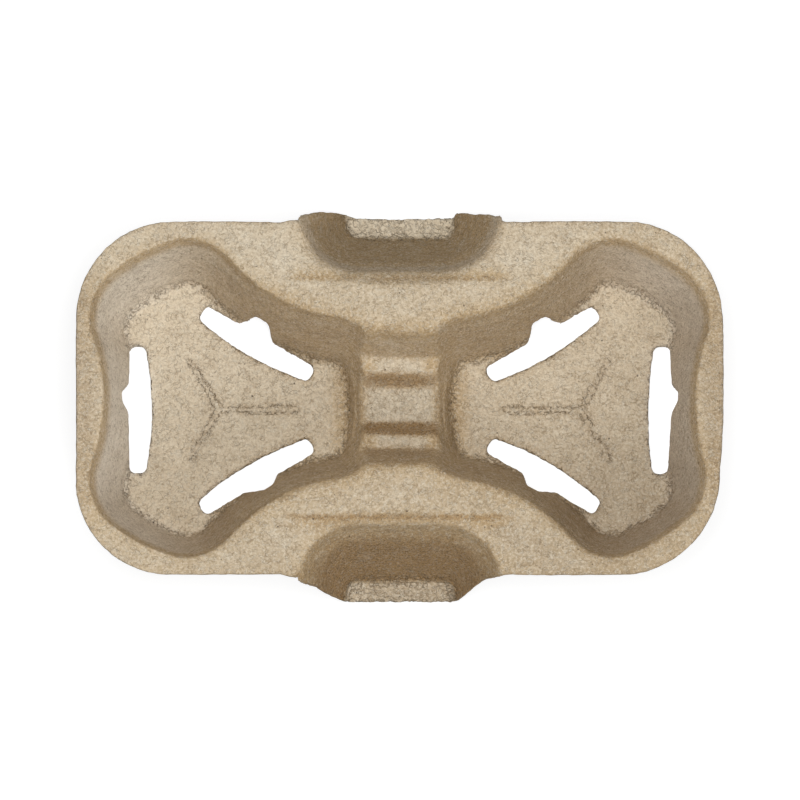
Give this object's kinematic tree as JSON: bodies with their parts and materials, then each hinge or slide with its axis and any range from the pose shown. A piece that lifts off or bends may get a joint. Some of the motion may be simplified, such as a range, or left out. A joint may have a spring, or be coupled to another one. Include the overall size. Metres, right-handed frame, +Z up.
{
  "type": "cardboard cup carrier",
  "caption": "Moulded pulp tray that holds drinks cups in lobed pockets, with slotted spring tabs, a stepped saddle between the pockets and finger grips at its sides.",
  "frame": {"origin": "middle of the carrier's length and width, at the table it stands on", "axes": "+X along the length through both pockets, +Y across to the back grip, +Z up out of the pockets"},
  "size_m": [0.217, 0.13, 0.0442],
  "materials": {
    "pulp": "matte, fibrous"
  },
  "bodies": {
    "root": {"cup_carrier": "pulp"}
  },
  "joints": []
}
